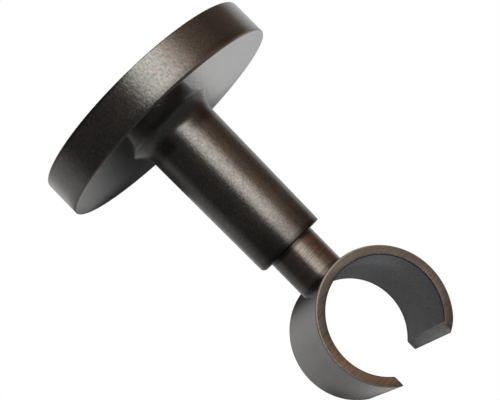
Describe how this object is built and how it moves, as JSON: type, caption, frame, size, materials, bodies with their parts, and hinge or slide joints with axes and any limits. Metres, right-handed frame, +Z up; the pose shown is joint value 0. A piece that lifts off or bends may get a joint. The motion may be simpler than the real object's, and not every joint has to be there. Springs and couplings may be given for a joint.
{
  "type": "curtain pole bracket",
  "caption": "Ceiling bracket for a curtain pole: round rose, flared sleeve and a split ring on a stem, its slot facing down, in dark satin bronze.",
  "frame": {"origin": "centre of the rose's back face, which lies against the ceiling", "axes": "+Z up towards the ceiling, the arm hangs down along -Z, the pole runs along X, and the ring's slot faces -Z"},
  "size_m": [0.045, 0.045, 0.0655],
  "materials": {
    "dark_bronze": "dark antique bronze, satin, finely brushed, browner along the edges"
  },
  "bodies": {
    "root": {"ceiling_rose": "dark_bronze", "sleeve": "dark_bronze", "pole_ring": "dark_bronze"}
  },
  "joints": []
}
